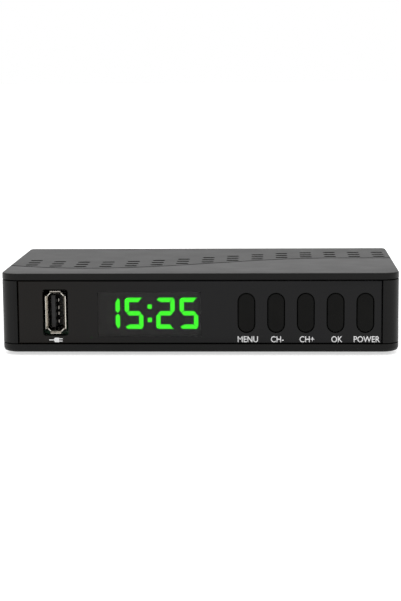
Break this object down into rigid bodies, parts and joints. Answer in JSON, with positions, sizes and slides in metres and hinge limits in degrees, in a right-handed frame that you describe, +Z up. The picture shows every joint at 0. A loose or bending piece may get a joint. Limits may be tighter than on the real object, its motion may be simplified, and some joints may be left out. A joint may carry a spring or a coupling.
{
  "type": "terrestrial tv receiver",
  "caption": "Small desktop television receiver with a smoked front lens, clock display, push keys, a front host socket and rear aerial, picture and power sockets.",
  "frame": {"origin": "middle of the whole object's box in plan, at the height of the surface that the feet stand on", "axes": "+X to the right seen from the front, +Y from the front to the rear, +Z up"},
  "size_m": [0.13, 0.0746, 0.027],
  "materials": {
    "case_plastic": "fine spark-eroded texture on black moulded plastic",
    "smoked_lens": "smoked see-through acrylic, semi-gloss",
    "foot_rubber": "matte moulded rubber",
    "key_plastic": "matte black moulded keys",
    "black_insulation": "black moulded insulation",
    "white_insulation": "white moulded insulation",
    "nickel_plate": "nickel plate, slightly warm",
    "tin_plate": "dull tin plate",
    "steel": "zinc-plated steel",
    "board_laminate": "green solder mask",
    "chip_resin": "moulded chip resin",
    "anodised": "extruded and anodised"
  },
  "bodies": {
    "receiver": {"top_cover": "case_plastic", "bottom_tray": "case_plastic", "front_frame": "case_plastic", "rear_panel": "case_plastic", "front_lens": "smoked_lens", "foot_front_left": "foot_rubber", "foot_front_right": "foot_rubber", "foot_rear_left": "foot_rubber", "foot_rear_right": "foot_rubber", "case_screw_front_left": "steel", "case_screw_front_right": "steel", "case_screw_rear_left": "steel", "case_screw_rear_right": "steel", "main_board": "board_laminate", "board_screw_front_left": "steel", "board_screw_front_right": "steel", "board_screw_rear_left": "steel", "board_screw_rear_right": "steel", "front_board": "board_laminate", "front_board_screw_left": "steel", "front_board_screw_right": "steel", "board_header": "black_insulation", "display_body": "black_insulation", "ir_receiver": "black_insulation", "switch_menu": "steel", "switch_channel_down": "steel", "switch_channel_up": "steel", "switch_ok": "steel", "switch_power": "steel", "usb_shell": "nickel_plate", "usb_tongue": "black_insulation", "scart_housing": "black_insulation", "hdmi_shell": "nickel_plate", "hdmi_tongue": "black_insulation", "tuner_can": "tin_plate", "aerial_in_barrel": "nickel_plate", "aerial_in_insulator": "white_insulation", "aerial_in_contact": "nickel_plate", "aerial_out_barrel": "nickel_plate", "aerial_out_insulator": "white_insulation", "aerial_out_pin": "nickel_plate", "coax_body": "black_insulation", "coax_barrel": "nickel_plate", "coax_contact": "nickel_plate", "dc_jack_body": "black_insulation", "dc_jack_pin": "nickel_plate", "main_chip": "chip_resin", "memory_chip": "chip_resin", "heat_sink": "anodised"},
    "menu_key": {"key_menu": "key_plastic", "plunger_menu": "black_insulation"},
    "channel_down_key": {"key_channel_down": "key_plastic", "plunger_channel_down": "black_insulation"},
    "channel_up_key": {"key_channel_up": "key_plastic", "plunger_channel_up": "black_insulation"},
    "ok_key": {"key_ok": "key_plastic", "plunger_ok": "black_insulation"},
    "power_key": {"key_power": "key_plastic", "plunger_power": "black_insulation"}
  },
  "joints": [
    {"name": "menu_press", "type": "slide", "parent": "receiver", "child": "menu_key", "axis": [0, 1, 0], "range_m": [0, 0.0004], "stiffness_N_per_m": 2500},
    {"name": "channel_down_press", "type": "slide", "parent": "receiver", "child": "channel_down_key", "axis": [0, 1, 0], "range_m": [0, 0.0004], "stiffness_N_per_m": 2500},
    {"name": "channel_up_press", "type": "slide", "parent": "receiver", "child": "channel_up_key", "axis": [0, 1, 0], "range_m": [0, 0.0004], "stiffness_N_per_m": 2500},
    {"name": "ok_press", "type": "slide", "parent": "receiver", "child": "ok_key", "axis": [0, 1, 0], "range_m": [0, 0.0004], "stiffness_N_per_m": 2500},
    {"name": "power_press", "type": "slide", "parent": "receiver", "child": "power_key", "axis": [0, 1, 0], "range_m": [0, 0.0004], "stiffness_N_per_m": 2500}
  ]
}
